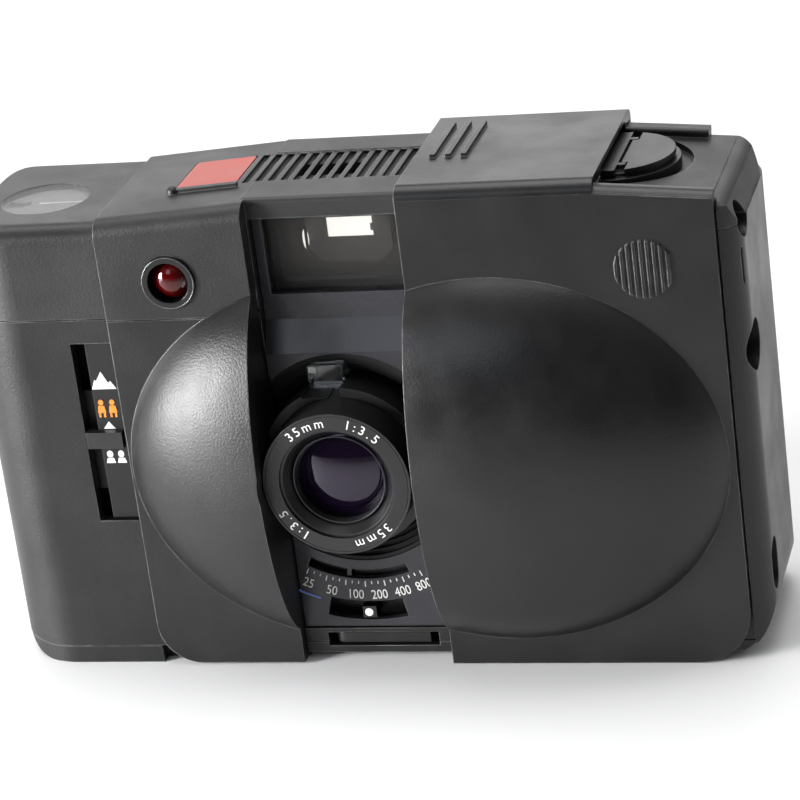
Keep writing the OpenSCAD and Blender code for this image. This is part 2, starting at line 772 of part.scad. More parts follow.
module counter_dial() color(WHITE) at(counter_axis) difference() {
  union() {
    disc(58.2, 58.7, 5.0);
    ring_of(40) translate([4.9, -0.2, 58.2]) cube([0.35, 0.4, 0.5]);
    disc(58.6, 59.1, 1.5);
  }
  disc(57, 60, 0.85);
}
module counter_window() color(GLASS) at(counter_axis) disc(60.25, 60.95, window_r);

// ---------- release, circuit and lamp ----------
module shutter_button() color(RED) difference() {
  union() {
    tilt_at(release_axis.x, 62.55, ramp_tilt) translate([0, 0, 61.75])
      linear_extrude(height = 0.8) rounded_rect([-21.7, -4.3], [-13.6, 6.3], 0.6);
    at(release_axis) disc(59.6, 62.1, 1.5);
  }
  at(release_axis) disc(59, 60.2, 0.5);
}
module release_switch() color(DARK) at(release_axis) {
  box([-3, -3, 50.6], [3, 3, 56.6]);
  disc(56.5, 58.9, 1.0);
}
module circuit_board() color(BOARD) difference() {
  box([-28.5, -9.8, 49.6], [-10.8, 4.4, 50.5]);
  at(sprocket_axis) disc(49, 52, 6.2);
}
module board_components() color(DARK) {
  board_top = 50.55;
  box([-27.5, -9.0, board_top], [-24.4, -4.5, 52.2]);
  box([-13.6, -7.5, board_top], [-11.4, -3.5, 52.0]);
  at([-25, -0.6]) disc(board_top, 54.6, 1.8);
  box([-17.0, -9.2, board_top], [-14.6, -7.2, 51.6]);
}
module lamp_bezel() color(METAL) difference() {
  disc_y(lamp_place, -14.35, -11.45, 3.5);
  disc_y(lamp_place, -15.35, -10.35, lamp_r + 0.05);
}
module lamp_lens() color(RED) intersection() {
  curve_r = 3.1;
  disc_y(lamp_place, -14.2, -9, lamp_r);
  translate([lamp_place[0], -14.1 + curve_r, lamp_place[1]]) union() {
    sphere(r = curve_r);
    translate([-4, 0, -4]) cube([8, 5, 8]);
  }
}

// ---------- finder and light sensor ----------
module viewfinder_window() color(GLASS) finder_box(9.1, [-8.7, -8.0], [49.6, 60.3]);
module viewfinder_tunnel() color(DARK) difference() {
  finder_box(9.2, [-7.9, 11.2], [49.1, 60.9]);
  finder_box(8.2, [-9, 4.0], [50.0, 60.1]);
  finder_box(4.8, [3.9, 12], [53.0, 58.6]);
}
module viewfinder_objective() color(GLASS) difference() {
  finder_box(8.1, [-5.6, -3.6], [50.1, 60.0]);
  translate([finder_x, 8.6, 55.0]) sphere(r = 12.6);
}
module viewfinder_eyepiece() color(GLASS) intersection() {
  finder_box(4.6, [9.9, 12.9], [53.3, 58.4]);
  translate([finder_x, -8.0, 55.6]) sphere(r = 20.8);
}
module sensor_window() color(GLASS) sensor_box(2.3, [-11.8, -10.0], [37.85, 40.9]);
module sensor_cell() color(METAL) disc_y([sensor_x, 39.5], -9.9, -8.5, 1.3);

// ---------- focusing and lens ----------
module zone_lever() color(DARK) {
  box([-35.35, -13.75, 31.0], [-30.5, -12.7, 33.2]);
  box([-35.35, -12.8, 31.0], [-34.35, -10.4, 33.2]);
  box([-36.9, -10.9, 24.2], [-33.6, -10.1, 38.0]);
  box([-33.8, -10.9, 27.4], [-16.2, -10.3, 29.0]);
}
module symbol_plate() color(DARK) box([-33.95, -12.55, 20.8], [-30.2, -12.02, 45.1]);
module focus_ring() color(METAL) difference() {
  union() {
    lens_disc(-8.4, -5.6, 13.0);
    // tab on the left
    translate([lens_x - 14.3, -8.4, lens_z - 1.2]) cube([3, 2.8, 2.4]);
  }
  lens_disc(-9, -5, 10.85);
}
module lens_barrel() color(DARK) difference() {
  union() {
    lens_disc(-14.8, -4.0, 10.8);
    lens_disc(-5.0, -4.0, 13.2);
  }
  lens_disc(-15, -3, 9.56);
  // flat beside the front cover, and a notch for the light sensor
  box([-20, -20, 0], [-10.45, -10.9, 60]);
  sensor_box(2.5, [-20, -8.45], [37.7, 42]);
}
module focus_cell() color(DARK) difference() {
  lens_disc(-20.0, -8.8, lens_r);
  lens_disc(-21, -19.6, 9.2);
  translate([lens_x, -20.05, lens_z]) rotate([-90, 0, 0]) cylinder(r1 = 7.35, r2 = 5.9, h = 2.2);
  lens_disc(-18, -14.4, 5.9);
  lens_disc(-15, -8, 5.3);
}
module name_ring() color(DARK) lens_ring(-20.0, -19.62, 9.15, 7.4);
module front_element() color(GLASS) intersection() {
  curve_r = 13;
  lens_disc(-17.9, -14.5, 5.85);
  translate([lens_x, -17.8 + curve_r, lens_z]) sphere(r = curve_r);
}
module middle_element() color(GLASS) lens_disc(-12.4, -10.2, 5.25);
module rear_element() color(GLASS) lens_disc(-0.7, 1.2, 5.0);
module shutter_housing() color(DARK) difference() {
  lens_disc(-3.8, -0.9, 14.6);
  // blade room, with the two pivot pins left standing
  difference() {
    lens_disc(-2.9, -1.8, 13.2);
    for (side = [-1, 1])
      disc_y([lens_x + side * blade_pivot[0], lens_z + blade_pivot[1]], -4, 0, 0.5);
  }
  lens_disc(-5, 0, 3.9);
}
// shutter blade whose rear face is at y; side is -1 for left, 1 for right
module blade(side, y) {
  pivot = [side * blade_pivot[0], blade_pivot[1]];
  translate([lens_x, y, lens_z]) rotate([90, 0, 0]) linear_extrude(height = 0.3) difference() {
    union() {
      translate([side > 0 ? -0.3 : -4.4, -4.5]) square([4.7, 9.1]);
      translate([pivot.x - 1.1, 4]) square([2.2, 4.8]);
      translate(pivot) circle(r = 1.3);
    }
    translate(pivot) circle(r = 0.55);
  }
}
module shutter_blade_left() color(DARK) blade(-1, -2.5);
module shutter_blade_right() color(DARK) blade(1, -2.05);
module speed_ring() color(METAL) difference() {
  union() {
    lens_ring(-10.6, -9.7, 17.1, 14.6);
    // lever at the bottom
    box([lens_x - 1.2, -10.6, 7.0], [lens_x + 0.6, -9.7, 12.2]);
    box([lens_x - 1.2, -12.5, 6.0], [lens_x + 0.6, -9.7, 7.6]);
    // pointer in the arc window
    translate([lens_x, 0, lens_z]) rotate([0, 9, 0]) box([-0.3, -11.7, -16.8], [0.3, -10.5, -15.7]);
  }
  box([-30, -20, 17.2], [30, 0, 60]);
}
module timer_lever() color(METAL) at(timer_axis) difference() {
  translate([0, 0, 2.2]) linear_extrude(height = 1.4) union() {
    circle(r = 1.5);
    translate([0, -1.5]) square([11.4, 3.0]);
  }
  disc(1, 5, 0.75);
}

// ---------- base and right end ----------
module battery_cap() color(METAL) at(battery_axis) difference() {
  union() {
    disc(0.25, 2.6, 6.85);
    disc(2.5, 2.9, 5.8);
  }
  // coin slot
  box([-5.2, -0.6, -1], [5.2, 0.6, 1.15]);
}
module battery_cells() color(METAL) for (z = [3.0, 8.45]) at(battery_axis) disc(z, z + 5.35, 5.8);
module battery_contact() color(BRASS) at(battery_axis) disc(13.9, 14.2, 3.0);
module tripod_bush() color(METAL) at(tripod_axis) difference() {
  disc(0.05, 7.2, 5.0);
  disc(-1, 6.0, 3.175);
}
module flash_socket() color(BRASS) difference() {
  disc_x(flash_place, 46.0, 49.3, 3.2);
  disc_x(flash_place, 46.8, 50.8, 2.3);
}
module flash_contact() color(BRASS) {
  disc_x(contact_place, 45.0, 49.0, 1.0);
  disc_x(contact_place, 44.6, 45.2, 1.9);
}
module strap_pin() color(METAL) at(strap_axis) disc(6.6, 16.2, 0.6);
module rewind_release_button() color(METAL) at(sprocket_axis) {
  disc(0.25, 2.35, 2.3);
  disc(2.3, 3.4, 1.2);
}
module bottom_screws() color(METAL) for (screw = base_screws) at(screw) difference() {
  union() {
    disc(0.3, 1.05, 2.0);
    disc(1.0, 3.9, 0.8);
  }
  // cross slot
  box([-1.2, -0.2, 0], [1.2, 0.2, 0.6]);
  box([-0.2, -1.2, 0], [0.2, 1.2, 0.6]);
}

main_body();
top_cover();
front_cover();
bottom_cover();
bay_mask();
lens_baffle();
slide_cover();
rear_door();
door_hinge_pin();
pressure_plate();
pressure_springs();
cassette_spring();
light_seals();
door_latch();
rewind_collar();
rewind_shaft();
rewind_knob();
rewind_crank();
thumbwheel();
takeup_spool();
film_sprocket();
sprocket_gear();
counter_bridge();
counter_dial();
counter_window();
shutter_button();
release_switch();
circuit_board();
board_components();
lamp_bezel();
lamp_lens();
viewfinder_window();
viewfinder_tunnel();
viewfinder_objective();
viewfinder_eyepiece();
sensor_window();
sensor_cell();
zone_lever();
symbol_plate();
focus_ring();
lens_barrel();
focus_cell();
name_ring();
front_element();
middle_element();
rear_element();
shutter_housing();
shutter_blade_left();
shutter_blade_right();
speed_ring();
timer_lever();
battery_cap();
battery_cells();
battery_contact();
tripod_bush();
flash_socket();
flash_contact();
strap_pin();
rewind_release_button();
bottom_screws();
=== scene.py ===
"""A compact 35 mm film camera: CAD pieces dressed with materials, lettering and small parts.

The front faces -Y, +X is to the right seen from the front, and +Z is up.
Shapes are given in mm; the stage, lights, camera and material depths are in metres.
"""
import json
import math
import random

import bpy
import bmesh
from mathutils import Matrix, Vector

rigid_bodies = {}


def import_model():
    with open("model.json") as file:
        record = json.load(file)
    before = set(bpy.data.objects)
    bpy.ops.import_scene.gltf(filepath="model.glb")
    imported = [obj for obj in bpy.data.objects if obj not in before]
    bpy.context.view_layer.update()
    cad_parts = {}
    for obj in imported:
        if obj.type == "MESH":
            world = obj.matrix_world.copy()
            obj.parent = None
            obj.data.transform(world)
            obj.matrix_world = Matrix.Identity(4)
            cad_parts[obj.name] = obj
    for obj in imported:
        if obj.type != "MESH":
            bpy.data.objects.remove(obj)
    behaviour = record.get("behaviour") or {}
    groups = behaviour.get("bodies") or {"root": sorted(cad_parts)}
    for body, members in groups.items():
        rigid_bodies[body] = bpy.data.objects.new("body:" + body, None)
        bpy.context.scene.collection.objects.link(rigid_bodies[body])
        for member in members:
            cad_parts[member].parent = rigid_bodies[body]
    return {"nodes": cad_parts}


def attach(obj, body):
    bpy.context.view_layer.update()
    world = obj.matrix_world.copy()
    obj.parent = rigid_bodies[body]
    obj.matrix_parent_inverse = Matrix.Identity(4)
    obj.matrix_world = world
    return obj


random.seed(7)
for old in list(bpy.data.objects):
    bpy.data.objects.remove(old)
cad_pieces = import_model()["nodes"]
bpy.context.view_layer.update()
SCENE = bpy.context.scene

MM = 0.001
LENS_X, LENS_Z = -1.0, 28.2        # lens axis, parallel to Y
COUNTER_X, COUNTER_Y = -40.1, -1.8  # frame counter axis, parallel to Z
LAMP_X, LAMP_Z = -20.9, 53.5       # lamp axis, parallel to Y


# ---------------------------------------------------------------- shader helpers
def new_material(name):
    material = bpy.data.materials.new(name)
    material.use_nodes = True
    tree = material.node_tree
    return material, tree, tree.nodes["Principled BSDF"]


def feed(tree, target, inputs):
    """Links each socket, or sets each plain value, into the target node's inputs."""
    for key, value in inputs.items():
        if isinstance(value, bpy.types.NodeSocket):
            tree.links.new(value, target.inputs[key])
        else:
            target.inputs[key].default_value = value


def node(tree, kind, inputs=None, **settings):
    made = tree.nodes.new(kind)
    for key, value in settings.items():
        setattr(made, key, value)
    feed(tree, made, inputs or {})
    return made


def object_coords(tree):
    return node(tree, "ShaderNodeTexCoord").outputs["Object"]


def noise(tree, scale, detail=3.0, rough=0.5, coords=None):
    return node(tree, "ShaderNodeTexNoise", {
        "Vector": coords or object_coords(tree),
        "Scale": scale, "Detail": detail, "Roughness": rough}).outputs["Fac"]


def remap(tree, source, to_min, to_max, from_min=0.35, from_max=0.65, **settings):
    """Maps a value between ranges; the default input range is the middle of a noise."""
    return node(tree, "ShaderNodeMapRange", {
        "Value": source, "From Min": from_min, "From Max": from_max,
        "To Min": to_min, "To Max": to_max}, **settings).outputs["Result"]


def mix(tree, factor, first, second, **settings):
    """Mixes two colours, each a socket or an RGBA value."""
    # On a colour Mix node, inputs 6 and 7 are A and B, and output 2 is the colour.
    return node(tree, "ShaderNodeMix", {"Factor": factor, 6: first, 7: second},
                data_type="RGBA", **settings).outputs[2]


def rgba(color, gain=1.0, lift=0.0):
    return (*[c * gain + lift for c in color], 1)


def relief(tree, bsdf, height, edge, strength, depth):
    """Bumps the surface over softened edges; returns the softened normal."""
    softened = node(tree, "ShaderNodeBevel", {"Radius": edge}, samples=4).outputs["Normal"]
    bump = node(tree, "ShaderNodeBump", {
        "Strength": strength, "Distance": depth, "Height": height, "Normal": softened})
    feed(tree, bsdf, {"Normal": bump.outputs["Normal"]})
    return softened


# ---------------------------------------------------------------- material kinds
def plastic(name, base, rough=0.45, grain=3200, bump=0.25, depth=0.00004, edge_wear_and_highlight=0.06,
            specular=0.5, edge=0.00022, dust=0.02):
    """Moulded plastic with grain, slight colour and gloss drift, and lighter edges from abrasion
    plus a painted edge highlight.

    grain is the noise scale, bump and depth its relief, the edge-lightening argument how much
    edges pale (abrasion plus painted highlight), edge their softening radius, and dust the
    lightening of the paler drift patches.
    """
    material, tree, bsdf = new_material(name)
    grain_height = noise(tree, grain, detail=2.0, rough=0.6)
    drift = noise(tree, scale=90, rough=0.6)
    softened = relief(tree, bsdf, grain_height, edge, strength=bump, depth=depth)

    # Edges show where the softened normal leaves the true one; noise breaks them up. They are
    # lightened for abrasion and as a painted edge highlight.
    true_normal = node(tree, "ShaderNodeNewGeometry").outputs["Normal"]
    agreement = node(tree, "ShaderNodeVectorMath", {0: softened, 1: true_normal},
                     operation="DOT_PRODUCT").outputs["Value"]
    edges = remap(tree, agreement, to_min=1.0, to_max=0.0, from_min=0.72, from_max=0.985)
    patches = remap(tree, noise(tree, scale=260, detail=4.0, rough=0.65),
                    to_min=0.30, to_max=1.0, from_min=0.42, from_max=0.6)
    rubbed_and_highlit = node(tree, "ShaderNodeMath", {0: edges, 1: patches}, operation="MULTIPLY")

    drifted = mix(tree, remap(tree, drift, to_min=0, to_max=1),
                  rgba(base, gain=0.9), rgba(base, gain=1.12, lift=dust * 0.08))
    # Edge colour: abrasion plus a painted edge highlight.
    worn_and_highlit = (*[min(1, c + edge_wear_and_highlight) for c in base], 1)
    feed(tree, bsdf, {
        "Base Color": mix(tree, rubbed_and_highlit.outputs["Value"], drifted, worn_and_highlit),
        "Roughness": remap(tree, drift, to_min=rough - 0.05, to_max=rough + 0.06),
        "Specular IOR Level": specular})
    return material


def metal(name, base, rough=0.3, brush=(1, 1, 1)):
    """Worked metal with fine scratches; brush scales them along X, Y and Z."""
    material, tree, bsdf = new_material(name)
    stretched = node(tree, "ShaderNodeMapping", {
        "Vector": object_coords(tree), "Scale": brush}).outputs["Vector"]
    scratches = noise(tree, scale=2600, rough=0.6, coords=stretched)
    relief(tree, bsdf, scratches, edge=0.00012, strength=0.18, depth=0.00003)
    blotches = remap(tree, noise(tree, scale=400), to_min=0, to_max=1)
    feed(tree, bsdf, {
        "Base Color": mix(tree, blotches, rgba(base, gain=0.85), rgba(base)),
        "Roughness": remap(tree, scratches, to_min=rough - 0.07, to_max=rough + 0.1),
        "Metallic": 1.0})
    return material


def glass(name, tint, rough=0.02, transmission=0.9, coat=None, ior=1.5):
    """Glass or clear plastic; coat is the colour of an interference coating."""
    material, tree, bsdf = new_material(name)
    smears = noise(tree, scale=60, detail=4.0, rough=0.6)
    feed(tree, bsdf, {
        "Roughness": remap(tree, smears, to_min=rough, to_max=rough + 0.05),
        "Transmission Weight": transmission,
        "IOR": ior})
    if coat:
        # The coating's colour turns with the viewing angle.
        facing = node(tree, "ShaderNodeLayerWeight", {"Blend": 0.45}).outputs["Facing"]
        feed(tree, bsdf, {
            "Base Color": mix(tree, facing, rgba(tint), rgba(coat)),
            "Coat Weight": 0.8, "Coat Roughness": 0.03, "Coat Tint": rgba(coat)})
    else:
        feed(tree, bsdf, {"Base Color": rgba(tint)})
    return material


def ink(name, base, rough=0.5, emission=0.0):
    """Printed ink with slightly uneven coverage; with emission it glows as painted light."""
    material, tree, bsdf = new_material(name)
    coverage = remap(tree, noise(tree, scale=5000, detail=2.0, rough=0.6), to_min=0, to_max=1)
    feed(tree, bsdf, {
        "Base Color": mix(tree, coverage, rgba(base, gain=0.86), rgba(base)),
        "Roughness": rough})
    # Emission: a painted glow, not a lamp.
    if emission:
        feed(tree, bsdf, {"Emission Color": rgba(base), "Emission Strength": emission})
    return material


# ---------------------------------------------------------------- materials
BODY = plastic("satin_black", (0.0072, 0.0072, 0.0077), rough=0.37, bump=0.55,
               depth=0.00006, edge_wear_and_highlight=0.32, edge=0.0002, specular=0.43)
COVER = plastic("cover_black", (0.0055, 0.0055, 0.006), rough=0.33, grain=3000, bump=0.40,
                depth=0.00005, edge_wear_and_highlight=0.32, edge=0.0002, specular=0.43)
TOP = plastic("top_black", (0.0085, 0.0085, 0.009), rough=0.42, bump=0.6,
              depth=0.00006, edge_wear_and_highlight=0.32, edge=0.0002)
# Lighter and bluer than the other blacks: a painted sky reflection on the shaded ledge over the
# black plastic.
BAY_PAINTED_REFLECTION = plastic("bay_black_painted_reflection", (0.020, 0.020, 0.025), rough=0.28, edge_wear_and_highlight=0.12)
DARK = plastic("matte_black", (0.007, 0.007, 0.0075), rough=0.62, bump=0.2, edge_wear_and_highlight=0.02,
               specular=0.3)
LENS_BLACK = plastic("lens_black", (0.006, 0.006, 0.0065), rough=0.38, grain=6000,
                     bump=0.08, edge_wear_and_highlight=0.03, edge=0.0001)
KNOB = plastic("knob_black", (0.010, 0.010, 0.0105), rough=0.4, grain=4200, bump=0.14,
               edge=0.00015)
RED = plastic("release_red", (0.40, 0.045, 0.028), rough=0.42, grain=3600, bump=0.22,
              edge_wear_and_highlight=0.2, dust=0.1)
WHITE = plastic("dial_white", (0.6, 0.6, 0.58), rough=0.35, grain=5000, bump=0.05, edge_wear_and_highlight=0.0)
STEEL = metal("steel", (0.55, 0.55, 0.56), rough=0.28)
BRUSHED = metal("steel_brushed", (0.5, 0.5, 0.51), brush=(1, 1, 0.06))
DARK_METAL = metal("blackened_metal", (0.06, 0.06, 0.062), rough=0.35)
BRASS = metal("brass", (0.34, 0.19, 0.10), rough=0.32)
BOARD = plastic("board_green", (0.02, 0.12, 0.05), rough=0.4, bump=0.1)
FOAM = plastic("foam", (0.02, 0.019, 0.018), rough=0.95, grain=1600, bump=0.9,
               depth=0.0002, edge_wear_and_highlight=0.0, specular=0.1)
LENS = glass("coated_glass", (0.10, 0.045, 0.11), rough=0.012, coat=(0.20, 0.10, 0.36))
CLEAR = glass("clear_window", (0.86, 0.88, 0.9), transmission=0.97)
COUNTER_GLASS = glass("counter_glass", (0.80, 0.80, 0.80), rough=0.05, transmission=0.97,
                      ior=1.12)
FINDER_WINDOW = glass("finder_window", (0.60, 0.58, 0.56), transmission=0.98, ior=1.18)
LAMP = glass("lamp_red", (0.13, 0.002, 0.002), transmission=0.6)
BEZEL = plastic("bezel_black", (0.006, 0.006, 0.006), rough=0.12, bump=0.02, edge_wear_and_highlight=0.0)
# Near-black for the painted shade sheet inside the finder.
PAINTED_SHADE_BLACK = plastic("painted_shade_black", (0.002, 0.002, 0.002), rough=0.8, bump=0.05, edge_wear_and_highlight=0.0,
               specular=0.05)
CELL = plastic("sensor_cell", (0.12, 0.10, 0.08), rough=0.2, bump=0.02, edge_wear_and_highlight=0.0)
# White ink for the printing, also used for the painted glint on the sensor window.
INK_WHITE_AND_PAINTED_GLINT = ink("white_ink_and_painted_glint", (0.80, 0.80, 0.78))
INK_ORANGE = ink("ink_orange", (0.80, 0.24, 0.02))
INK_BLUE = ink("ink_blue", (0.12, 0.22, 0.55))
INK_GREY = ink("ink_grey", (0.12, 0.12, 0.12), rough=0.45)
# Glowing white: painted reflection and painted glint in the finder window.
FINDER_PAINTED_GLOW = ink("finder_painted_glow", (0.95, 0.95, 0.93), rough=0.35, emission=1.5)
# Grey lighter than the dark finder: painted highlight on the finder lens's lower edge.
FINDER_EDGE_HIGHLIGHT = ink("finder_lens_edge_highlight", (0.10, 0.098, 0.095), rough=0.12)
LAMP_RIM = metal("lamp_rim", (0.20, 0.20, 0.20), rough=0.35)

# (material, names of the CAD pieces that wear it)
PIECE_MATERIALS = (
    (BODY, "main_body front_cover bottom_cover rear_door"),
    (TOP, "top_cover"),
    (BAY_PAINTED_REFLECTION, "bay_mask"),
    (COVER, "slide_cover"),
    (DARK, "lens_baffle takeup_spool release_switch board_components viewfinder_tunnel "
           "symbol_plate shutter_housing pressure_plate"),
    (KNOB, "zone_lever thumbwheel rewind_knob rewind_crank"),
    (LENS_BLACK, "lens_barrel focus_cell name_ring"),
    (DARK_METAL, "shutter_blade_left shutter_blade_right speed_ring focus_ring timer_lever "
                 "flash_socket"),
    (BRUSHED, "door_hinge_pin pressure_springs cassette_spring door_latch rewind_collar "
              "rewind_shaft film_sprocket counter_bridge battery_cells strap_pin "
              "rewind_release_button bottom_screws tripod_bush"),
    (STEEL, "battery_cap"),
    (BEZEL, "lamp_bezel"),
    (CELL, "sensor_cell"),
    (BRASS, "sprocket_gear flash_contact battery_contact"),
    (RED, "shutter_button"),
    (LAMP, "lamp_lens"),
    (WHITE, "counter_dial"),
    (COUNTER_GLASS, "counter_window"),
    (CLEAR, "viewfinder_objective viewfinder_eyepiece sensor_window"),
    (FINDER_WINDOW, "viewfinder_window"),
    (LENS, "front_element middle_element rear_element"),
    (BOARD, "circuit_board"),
    (FOAM, "light_seals"),
)
material_of = {name: material for material, names in PIECE_MATERIALS
               for name in names.split()}
for piece_name, piece in cad_pieces.items():
    piece.data.materials.clear()
    piece.data.materials.append(material_of[piece_name])


# ---------------------------------------------------------------- mesh helpers
def place(shape, name, material, slot="white_plastic", body="body", smooth_angle=None):
    """Turns a bmesh into an object that rides on a body and takes the material in a slot; the
    slot argument is not used.
    """
    mesh = bpy.data.meshes.new(name)
    bmesh.ops.recalc_face_normals(shape, faces=shape.faces)
    shape.to_mesh(mesh)
    shape.free()
    piece = bpy.data.objects.new(name, mesh)
    SCENE.collection.objects.link(piece)
    mesh.materials.append(material)
    if smooth_angle:
        for polygon in mesh.polygons:
            polygon.use_smooth = True
        mesh.set_sharp_from_angle(angle=math.radians(smooth_angle))
    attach(piece, body)


def add_upright(shape, outline, front, back):
    """Closed prism between two Y planes from (x, z) points."""
    near = [shape.verts.new((x * MM, front * MM, z * MM)) for x, z in outline]
    far = [shape.verts.new((x * MM, back * MM, z * MM)) for x, z in outline]
    shape.faces.new(near)
    shape.faces.new(far[::-1])
    for i in range(len(outline)):
        j = (i + 1) % len(outline)
        shape.faces.new((near[i], far[i], far[j], near[j]))


def add_flat(shape, outline, bottom, top):
    """Closed prism between two Z planes from (x, y) points."""
    low = [shape.verts.new((x * MM, y * MM, bottom * MM)) for x, y in outline]
    high = [shape.verts.new((x * MM, y * MM, top * MM)) for x, y in outline]
    shape.faces.new(low[::-1])
    shape.faces.new(high)
    for i in range(len(outline)):
        j = (i + 1) % len(outline)
        shape.faces.new((low[i], low[j], high[j], high[i]))


def upright_plates(name, outlines, front, back, material, **placing):
    shape = bmesh.new()
    for outline in outlines:
        add_upright(shape, outline, front, back)
    place(shape, name, material, **placing)


def flat_plate(name, outline, bottom, top, material, **placing):
    shape = bmesh.new()
    add_flat(shape, outline, bottom, top)
    place(shape, name, material, **placing)


def turned_ring(name, center_x, center_z, profile, material, segments=64, **placing):
    """Closed ring turned about a Y axis from (radius, y) points."""
    shape = bmesh.new()
    loops = []
    for i in range(segments):
        angle = 2 * math.pi * i / segments
        loops.append([shape.verts.new(((center_x + radius * math.cos(angle)) * MM, y * MM,
                                       (center_z + radius * math.sin(angle)) * MM))
                      for radius, y in profile])
    count = len(profile)
    for i in range(segments):
        here, following = loops[i], loops[(i + 1) % segments]
        for j in range(count):
            k = (j + 1) % count
            shape.faces.new((here[j], here[k], following[k], following[j]))
    place(shape, name, material, smooth_angle=40, **placing)


def ellipse(center_x, center_y, radius_x, radius_y, count):
    angles = [2 * math.pi * i / count for i in range(count)]
    return [(center_x + radius_x * math.cos(a), center_y + radius_y * math.sin(a))
            for a in angles]


def trapezoid(center, bottom, bottom_half, top, top_half):
    return [(center - bottom_half, bottom), (center + bottom_half, bottom),
            (center + top_half, top), (center - top_half, top)]


def below_lens(radius, degrees):
    """(x, z) around the lens axis; 0 is straight down, positive to the right."""
    angle = math.radians(degrees)
    return LENS_X + radius * math.sin(angle), LENS_Z - radius * math.cos(angle)


def arc_band(inner, outer, start, end, steps):
    """Outline of an arc strip under the lens, angles as in below_lens."""
    angles = [start + (end - start) * i / steps for i in range(steps + 1)]
    return ([below_lens(outer, a) for a in angles]
            + [below_lens(inner, a) for a in reversed(angles)])


def add_text(shape, text, size, matrix, thickness=0.03):
    """Adds raised characters, read in local XY and placed by matrix (metres)."""
    curve = bpy.data.curves.new("text", "FONT")
    curve.body = text
    curve.size = size * MM
    curve.extrude = thickness * MM / 2
    curve.align_x = "CENTER"
    curve.align_y = "CENTER"
    curve.resolution_u = 4
    holder = bpy.data.objects.new("text", curve)
    SCENE.collection.objects.link(holder)
    bpy.context.view_layer.update()
    depsgraph = bpy.context.evaluated_depsgraph_get()
    mesh = bpy.data.meshes.new_from_object(holder.evaluated_get(depsgraph))
    mesh.transform(matrix)
    shape.from_mesh(mesh)
    bpy.data.objects.remove(holder)
    bpy.data.meshes.remove(mesh)


def facing_front(x, y, z, turn):
    """Stands text up to read from the front, turned clockwise by turn radians."""
    return (Matrix.Translation((x * MM, y * MM, z * MM)) @ Matrix.Rotation(turn, 4, "Y")
            @ Matrix.Rotation(math.pi / 2, 4, "X"))


# ---------------------------------------------------------------- lens lettering and speed scale
def ring_lettering():
    """Words around the lens; angles in degrees clockwise from the top."""
    radius = 8.3
    widths = {"m": 11.0, ".": 4.6, ":": 4.6, "1": 6.6}
    usual_width = 7.4
    gap = 0.8
    shape = bmesh.new()
    for word, start in (("35mm", 318.0), ("1:3.5", 14.0), ("35mm", 132.0), ("1:3.5", 212.0)):
        left = start
        for character in word:
            width = widths.get(character, usual_width)
            angle = math.radians(left + width / 2)
            matrix = facing_front(LENS_X + radius * math.sin(angle), -20.02,
                                  LENS_Z + radius * math.cos(angle), angle)
            add_text(shape, character, size=1.7, matrix=matrix, thickness=0.06)
            left += width + gap
    place(shape, "ring_lettering", INK_WHITE_AND_PAINTED_GLINT, body="cell")


SCALE_Y = -12.0  # back of the printed speed scale
SCALE_FRONT = SCALE_Y - 0.06


def speed_scale():
    """Numbers under the lens, with ticks above them, every third one long."""
    narrow = Matrix.Diagonal((0.80, 1.0, 1.0, 1.0))
    shape = bmesh.new()
    for number, degrees in (("25", -25), ("50", -15.5), ("100", -6),
                            ("200", 3.5), ("400", 13), ("800", 22)):
        x, z = below_lens(19.2, degrees)
        matrix = facing_front(x, SCALE_Y - 0.04, z, -math.radians(degrees))
        add_text(shape, number, size=1.85, matrix=matrix @ narrow)
    first_tick, tick_pitch, tick_half = -27, 2.8, 0.22  # degrees
    for i in range(19):
        middle = first_tick + i * tick_pitch
        outer = 18.0 if i % 3 == 0 else 17.65
        tick = arc_band(17.25, outer, middle - tick_half, middle + tick_half, steps=1)
        add_upright(shape, tick, SCALE_FRONT, SCALE_Y)
    place(shape, "speed_scale", INK_WHITE_AND_PAINTED_GLINT)


ring_lettering()
speed_scale()
upright_plates("speed_scale_line", [arc_band(20.55, 20.85, -31, -19, steps=10)],
               SCALE_FRONT, SCALE_Y, INK_BLUE)
upright_plates("speed_dot", [ellipse(-1.4, 6.8, 0.55, 0.55, count=24)], -12.56, -12.5,
               INK_WHITE_AND_PAINTED_GLINT, body="speed")

# ---------------------------------------------------------------- zone symbols
# Printed on the plate behind the lever, all as (x, z) outlines.
SYMBOL_Y = -12.55
SYMBOL_FRONT = SYMBOL_Y - 0.05
FIGURE_OFFSETS = (-0.75, 0.75)  # each pair of figures about its middle
PEAKS = [(-33.9, 38.8), (-30.6, 38.8), (-31.3, 39.9), (-31.6, 39.6),
         (-32.4, 41.2), (-33.2, 39.9), (-33.4, 40.1)]
TRIANGLE = [(-33.2, 33.3), (-31.6, 33.3), (-32.4, 34.3)]

white_symbols = [PEAKS, TRIANGLE]
orange_symbols = []
for offset in FIGURE_OFFSETS:
    # Head and shoulders.
    middle = -32.2 + offset
    white_symbols += [ellipse(middle, 29.75, 0.42, 0.48, count=18),
                      trapezoid(middle, 28.5, 0.62, 29.2, 0.42)]
    # Head, body and two legs.
    middle = -32.3 + offset
    orange_symbols += [ellipse(middle, 36.95, 0.36, 0.38, count=18),
                       trapezoid(middle, 35.5, 0.55, 36.5, 0.4)]
    orange_symbols += [trapezoid(middle + leg, 34.9, 0.14, 35.45, 0.14)
                       for leg in (-0.32, 0.32)]
upright_plates("zone_symbols", white_symbols, SYMBOL_FRONT, SYMBOL_Y, INK_WHITE_AND_PAINTED_GLINT)
upright_plates("zone_symbols_orange", orange_symbols, SYMBOL_FRONT, SYMBOL_Y, INK_ORANGE,
               slot="red_plastic")


